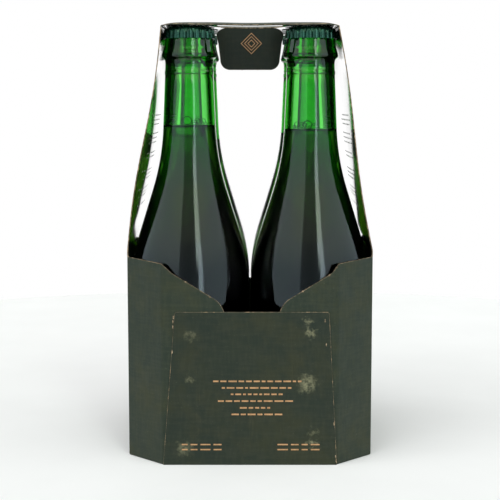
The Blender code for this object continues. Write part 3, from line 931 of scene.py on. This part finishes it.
def join(target, extra):
    """Add a mesh's geometry to another mesh with the same material slots."""
    bm = bmesh.new()
    bm.from_mesh(target)
    bm.from_mesh(extra)
    bm.to_mesh(target)
    bm.free()


def board_materials():
    """Printed outside, varnished inside, raw edge, the tabs' ink darkened as painted shade, and the darker-inked
    flaps, by slot.
    """
    inks = [printed_board("printed_" + part, shade) for part, shade in BOARD_SHADES]
    return [inks[0], varnished_board(), raw_board()] + inks[1:]


def make_carrier(materials):
    """The folded board with its finger holes, hanging tabs and glued flaps, in one piece."""
    carrier = mesh_object("folded_carrier", folded_board_mesh(), materials)
    modify(carrier, "SOLIDIFY", thickness=BOARD, offset=-1.0, material_offset=VARNISHED, material_offset_rim=RAW)
    cutters = []
    for end in (-1, 1):
        hole = prism_mesh(
            "finger_hole", hole_outline(end), lambda a, b, depth: (a, b, HOLE_CUT_LOW + depth), HOLE_CUT)
        cutter = mesh_object("finger_hole_cutter", hole, materials)
        hole.polygons.foreach_set("material_index", [RAW] * len(hole.polygons))
        modify(carrier, "BOOLEAN", operation="DIFFERENCE", solver="EXACT", object=cutter)
        cutters.append(cutter)
    solid = bpy.data.meshes.new_from_object(carrier.evaluated_get(bpy.context.evaluated_depsgraph_get()))
    carrier.modifiers.clear()
    carrier.data = solid
    for cutter in cutters:
        bpy.data.objects.remove(cutter, do_unlink=True)
    for end in (-1, 1):
        tab = prism_mesh(
            "tab", tab_outline(), lambda a, b, depth: (a, end * (HINGE_Y - BOARD + depth), b), BOARD)
        tab.transform(tab_swing(end))
        # The tab's outer face takes the ink darkened as painted shade
        colour_slab(tab, end, TAB_INK_PAINTED_SHADE)
        join(solid, tab)
        flap = prism_mesh(
            "flap", flap_outline(end), lambda a, b, depth: (a, end * (HALF - GLUE_BITE + depth), b), BOARD + GLUE_BITE)
        colour_slab(flap, end, FLAP_INK)
        join(solid, flap)
    solid.shade_smooth()
    solid.set_sharp_from_angle(angle=BOARD_SHARP_ANGLE)
    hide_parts("carrier")
    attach(carrier, "root")


def colour_slab(mesh, end, printed):
    """Give a slab its printed outer face, varnished inner face and raw rim."""
    for polygon in mesh.polygons:
        facing = polygon.normal.dot(Vector((0, end, 0)))
        if facing > 0.5:
            polygon.material_index = printed
        elif facing < -0.5:
            polygon.material_index = VARNISHED
        else:
            polygon.material_index = RAW


def edge_tube(name, lines, radius, material):
    """Rounded cut edge along lines of points."""
    curve = bpy.data.curves.new(name, "CURVE")
    curve.dimensions = "3D"
    curve.bevel_depth = radius
    curve.bevel_resolution = 2
    curve.use_fill_caps = True
    for points in lines:
        spline = curve.splines.new("POLY")
        spline.points.add(len(points) - 1)
        for target, point in zip(spline.points, points):
            target.co = (*point, 1.0)
    curve.materials.append(material)
    return put(name, curve)


def cut_edge_lines():
    """Lines along the middle of the board's cut edges, of the flaps' edges, and under the roof's edges."""
    half_board = BOARD / 2
    cut, flaps, under = [], [], []
    for end in (-1, 1):
        y = end * CREASE
        arch = []
        for x, z in sleeve_points()[1:-1]:
            if abs(x) < ROOF_HALF_WIDTH:
                arch.append((x, y, z - droop(x, y, z) - half_board))
            else:
                arch.append((x - math.copysign(half_board, x), y, z))
        inner_y = end * (HALF - half_board)
        wall = [(x, inner_y, z) for x, z in end_wall_points(end)[1:-1]]
        wall = [(-HALF + half_board, y, CORNER_TOP)] + wall + [(HALF - half_board, y, CORNER_TOP)]
        tab_y = end * (HINGE_Y - half_board)
        tab = [tuple(tab_swing(end) @ Vector((x, tab_y, z))) for x, z in tab_outline()[:-TAB_TOP_POINTS]]
        hole = [(x, y, roof_height(x) - half_board - droop(x, y, ROOF_CREST)) for x, y in hole_outline(end)]
        cut += [arch, wall, tab, hole]
        flaps.append([(x, end * (HALF + half_board), z) for x, z in flap_outline(end)])
        under.append([(x, y, z - droop(x, y, z) - UNDER_EDGE_DROP) for x, z in roof_points()])
    return cut, flaps, under


def make_cut_edges(raw, lapped, varnished):
    """Cut edges, a little rounded: tan on the board, inked over on the flaps, and dark under the roof, partly the
    inner ink and partly painted shade for the shadowed lower half of the roof's edge.
    """
    names = ("cut_edges", "flap_edges", "under_edges_ink_and_painted_shade")
    radii = (EDGE_ROUND, EDGE_ROUND, UNDER_EDGE_ROUND)
    for name, run, radius, material in zip(names, cut_edge_lines(), radii, (raw, lapped, varnished)):
        edges = edge_tube(name, run, radius, material)
        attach(edges, "root")


def make_nicks(material):
    """Small torn crumbs of board at the nicks in the cut edges."""
    chance = random.Random(17)
    wall = end_wall_points(-1)
    strip = [(x, roof_height(x) - BOARD / 2) for x in spread(-10 * MM, 10 * MM, 9)]
    places = [(x * MM, -HALF, follow(wall, x * MM), 0.5, 0.5) for x in WALL_NICKS]
    places += [(x * MM, -HINGE_Y - 4 * MM, follow(strip, x * MM), 0.35, 0.35) for x in STRIP_NICKS]
    tab_end = hinge_line_height() - TAB_LENGTH
    places += [(x * MM, -HINGE_Y + BOARD / 2, tab_end, 0.4, 0.3) for x in STRIP_NICKS]
    places += [(x * MM, -HALF - BOARD, z * MM, 0.28, 0.9) for x, z in FLAP_FLECKS]
    bm = bmesh.new()
    for x, y, z, across, upright in places:
        made = bmesh.ops.create_icosphere(bm, subdivisions=2, radius=1.0 * MM)
        for vert in made["verts"]:
            ragged = chance.uniform(0.75, 1.2)
            vert.co = Vector((
                x + vert.co.x * across * ragged, y + vert.co.y * NICK_DEPTH, z + vert.co.z * upright * ragged))
    board_piece("nicks", bm, material)


def board_piece(name, bm, material):
    """Small piece that lies on the board."""
    bmesh.ops.recalc_face_normals(bm, faces=bm.faces)
    piece = mesh_object(name, mesh_from(bm, name), [material])
    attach(piece, "root")


def bar_box(bm, corners, depth):
    """Thin block from four corners, run along a direction."""
    add_prism(bm, corners, [Vector(corner) + depth for corner in corners])


def bar_row(chance, middle, width, sizes, lows, thickness):
    """Short bars that fill a line of a given width in millimetres, at each of the heights, as corners."""
    shortest, longest, gap = sizes
    bars = []
    x = middle - width / 2
    while x < middle + width / 2 - shortest:
        length = min(chance.uniform(shortest, longest), middle + width / 2 - x)
        start, stop = x * MM, (x + length) * MM
        for low in lows:
            bars.append([(start, low), (stop, low), (stop, low + thickness), (start, low + thickness)])
        x += length + gap
    return bars


def print_bars(end):
    """Copper lines of bars on a flap, as x, z corners."""
    chance = random.Random(11)
    shapes = []
    for middle, width, height in PRINT_LINES:
        shapes += bar_row(chance, middle, width, PRINT_BARS, [height * MM - PRINT_BAR / 2], PRINT_BAR)
    for middle, width in FOOT_MARKS:
        shapes += bar_row(chance, middle, width, FOOT_BARS, FOOT_ROWS, FOOT_BAR)
    return [[(-end * x, z) for x, z in shape] for shape in shapes]


def motif_bars():
    """Nested diamonds, each of four thin bars, as x, z corners."""
    shapes = []
    x, z = MOTIF_MIDDLE
    for reach in MOTIF_REACHES:
        outer, inner = (
            [(x + size, z), (x, z + size), (x - size, z), (x, z - size)] for size in (reach, reach - MOTIF_LINE))
        for step in range(4):
            after = (step + 1) % 4
            shapes.append([outer[step], outer[after], inner[after], inner[step]])
    return shapes


def make_print(material):
    """Copper bars on both flaps and nested diamonds on both tabs."""
    bm = bmesh.new()
    for end in (-1, 1):
        depth = Vector((0.0, end * PRINT_RISE * 2, 0.0))
        for shape in print_bars(end):
            y = end * (HALF + BOARD - PRINT_RISE)
            bar_box(bm, [(x, y, z) for x, z in shape], depth)
        for shape in motif_bars():
            y = end * (HINGE_Y - PRINT_RISE)
            swing = tab_swing(end)
            corners = [swing @ Vector((x, y, z)) for x, z in shape]
            bar_box(bm, corners, swing.to_3x3() @ depth)
    board_piece("copper_print", bm, material)


def inner_side_x(side, y, z):
    """X of a leaning side's inner face at a height."""
    reach = panel_reach(side, (z - SIDE_FOLD) / (ROOF_EDGE_HEIGHT - SIDE_FOLD))
    return side * reach + pinch(side * reach, y, z) - side * LEANING_BOARD


def make_small_print(material):
    """Rows of tiny bars on the inner faces of the two leaning sides."""
    bm = bmesh.new()
    chance = random.Random(5)
    for side in (-1, 1):
        for height in SMALL_PRINT_HEIGHTS:
            middle, width = chance.uniform(*SMALL_PRINT_MIDDLES), chance.uniform(*SMALL_PRINT_WIDTHS)
            for shape in bar_row(chance, middle, width, SMALL_PRINT_BARS, [height * MM], SMALL_PRINT_BAR):
                corners = [(inner_side_x(side, y, z) + side * PRINT_RISE, y, z) for y, z in shape]
                bar_box(bm, corners, Vector((-side * PRINT_RISE * 2, 0.0, 0.0)))
    board_piece("small_print", bm, material)


def add_rim(bm, middle, outward, size, thickness):
    """Ring round a bubble, flat against the glass: painted shade for the bubble's dark edge."""
    across = outward.cross(Vector((0.0, 0.0, 1.0)))
    loops = []
    for step in range(RIM_STEPS):
        turn = 2 * math.pi * step / RIM_STEPS
        away = across * math.cos(turn) + Vector((0.0, 0.0, math.sin(turn)))
        loop = []
        for corner in range(RIM_SIDES):
            angle = 2 * math.pi * corner / RIM_SIDES
            side = away * math.cos(angle) + outward * math.sin(angle)
            loop.append(bm.verts.new(middle + away * size + side * thickness))
        loops.append(loop)
    for first, second in zip(loops, loops[1:] + loops[:1]):
        bridge(bm, first, second)


def make_bubbles():
    """Dark rings of painted shade for the edges of the bubbles that cling to the glass over the beer in each neck."""
    # Dark green painted shade of the bubbles' edges
    stops = [(0.3, (0.01, 0.05, 0.012)), (0.7, (0.03, 0.16, 0.03))]
    rims = ramp_material("bubble_rims_painted_shade", (600, 2.0), stops, Roughness=0.15, Specular_IOR_Level=0.5)
    chance = random.Random(3)
    for place, middle in zip(PLACES, BUBBLE_SIDES):
        foot, fill = bottle_foot(place)
        wall = inner_radius(fill) - BUBBLE_INSET
        bm = bmesh.new()
        for _ in range(BUBBLES):
            size = chance.choice(BUBBLE_SIZES) * MM
            angle = math.radians(middle + chance.triangular(-BUBBLE_SPREAD, BUBBLE_SPREAD, 0.0))
            outward = Vector((math.cos(angle), math.sin(angle), 0.0))
            rise = Vector((0.0, 0.0, MENISCUS + size * 0.6 + chance.triangular(0.0, BUBBLE_RISE, 0.0) * MM))
            add_rim(bm, outward * wall + rise, outward, size, chance.uniform(*RIM_THICKNESS) * MM)
        bmesh.ops.recalc_face_normals(bm, faces=bm.faces)
        mesh = mesh_from(bm, "bubbles")
        mesh.shade_smooth()
        mesh.transform(Matrix.Translation(foot + Vector((0.0, 0.0, fill))))
        bubbles = mesh_object("bubbles_" + place, mesh, [rims])
        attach(bubbles, "root")


def make_camera():
    """Camera at the photograph's viewing angle."""
    data = bpy.data.cameras.new("camera")
    data.lens = CAMERA_LENS_MM
    data.sensor_width = SENSOR_MM
    camera = put("camera", data)
    camera.location = (0.0, -CAMERA_DISTANCE, CAMERA_HEIGHT)
    camera.rotation_euler = (math.radians(90) - CAMERA_PITCH, 0.0, 0.0)
    bpy.context.scene.camera = camera


def make_floor():
    """Floor of plain pale paper."""
    stops = [(0.3, (0.88, 0.88, 0.88)), (0.7, (0.92, 0.92, 0.92))]
    paper = ramp_material("pale_floor", (8, 3.0), stops, Roughness=0.9, Specular_IOR_Level=0.1)
    bm = bmesh.new()
    bmesh.ops.create_circle(bm, cap_ends=True, segments=96, radius=FLOOR_RADIUS)
    floor = mesh_object("floor", mesh_from(bm, "floor"), [paper])
    floor.location = (0.0, 0.0, -FLOOR_DROP)


def wall_stops(level):
    """Stops of a colour ramp round the studio, at one level of STUDIO_WALLS."""
    stops = []
    for wall in STUDIO_WALLS:
        tints = (1.0, 1.0, 1.0) if abs(wall[0]) >= BACKDROP_FROM else STUDIO_TINTS[level - 1]
        stops.append((wall[0] / 360 + 0.5, [wall[level] / STUDIO_SCALE * tint for tint in tints]))
    return stops


def make_world():
    """White all round, and for reflections a studio with a backdrop, soft boxes and dark gaps."""
    world = bpy.data.worlds.new("studio")
    bpy.context.scene.world = world
    world.use_nodes = True
    studio = Nodes(world.node_tree)
    place = studio.node("ShaderNodeTexCoord").outputs["Generated"]
    parts = studio.node("ShaderNodeSeparateXYZ", {"Vector": place}).outputs
    turn = studio.maths("ARCTAN2", parts["X"], studio.maths("MULTIPLY", parts["Y"], -1.0))
    around = studio.maths("ADD", studio.maths("DIVIDE", turn, 2 * math.pi), 0.5)
    light = studio.ramp(around, wall_stops(1))
    for level, (start, end) in enumerate(STUDIO_RISES, start=2):
        sockets = {"Value": parts["Z"], "From Min": start, "From Max": end}
        rise = studio.node("ShaderNodeMapRange", sockets).outputs["Result"]
        light = studio.mix(rise, light, studio.ramp(around, wall_stops(level)))
    mirrored = world.node_tree.nodes["Background"]
    studio.feed(light, mirrored.inputs["Color"])
    mirrored.inputs["Strength"].default_value = STUDIO_SCALE
    rays = studio.node("ShaderNodeLightPath").outputs
    strength = studio.maths("SUBTRACT", 1.0, studio.maths("MULTIPLY", rays["Is Diffuse Ray"], DIFFUSE_CUT))
    plain = studio.node("ShaderNodeBackground", {"Color": (1.0, 1.0, 1.0), "Strength": strength})
    even = studio.maths("MAXIMUM", rays["Is Camera Ray"], rays["Is Diffuse Ray"])
    blend = studio.node("ShaderNodeMixShader", {0: even, 1: mirrored.outputs[0], 2: plain.outputs[0]})
    studio.feed(blend.outputs[0], world.node_tree.nodes["World Output"].inputs["Surface"])


def make_lights():
    """Broad soft lights: one from above the camera and one from each side."""
    for name, energy, direction in SOFT_LIGHTS:
        data = bpy.data.lights.new(name, "SUN")
        data.energy = energy
        data.angle = SOFT_ANGLE
        light = put(name, data)
        light.visible_glossy = False
        light.rotation_euler = Vector(direction).to_track_quat("-Z", "Y").to_euler()


make_camera()
make_bottles()
board_slots = board_materials()
make_carrier(board_slots)
make_cut_edges(board_slots[RAW], lapped_edge(), board_slots[VARNISHED])
make_nicks(board_slots[RAW])
make_print(copper_ink())
make_small_print(pale_ink())
make_bubbles()
make_floor()
make_world()
make_lights()

settings = bpy.context.scene
settings.view_settings.view_transform = "Standard"
settings.cycles.max_bounces = 24
settings.cycles.transmission_bounces = 24
